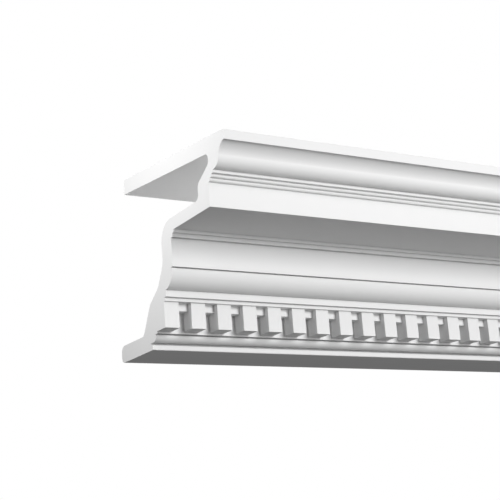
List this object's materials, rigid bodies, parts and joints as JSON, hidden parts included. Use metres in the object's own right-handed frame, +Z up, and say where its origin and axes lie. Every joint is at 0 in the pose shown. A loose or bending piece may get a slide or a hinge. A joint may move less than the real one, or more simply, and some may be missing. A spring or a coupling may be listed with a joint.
{
  "type": "cornice moulding length",
  "caption": "Straight length of cornice moulding with dentils, a deep soffit, a moulded crown and a hollow back, fixed to a wall by its foot.",
  "frame": {"origin": "middle of the flat at the back of the foot, half way along the run", "axes": "+X along the run to the right as seen from the front, +Y into the wall, +Z up"},
  "size_m": [1.015, 0.3324, 0.2653],
  "materials": {
    "primed_casting": "matt white factory primer on a smooth cast skin"
  },
  "bodies": {
    "root": {"cornice_moulding": "primed_casting"}
  },
  "joints": []
}
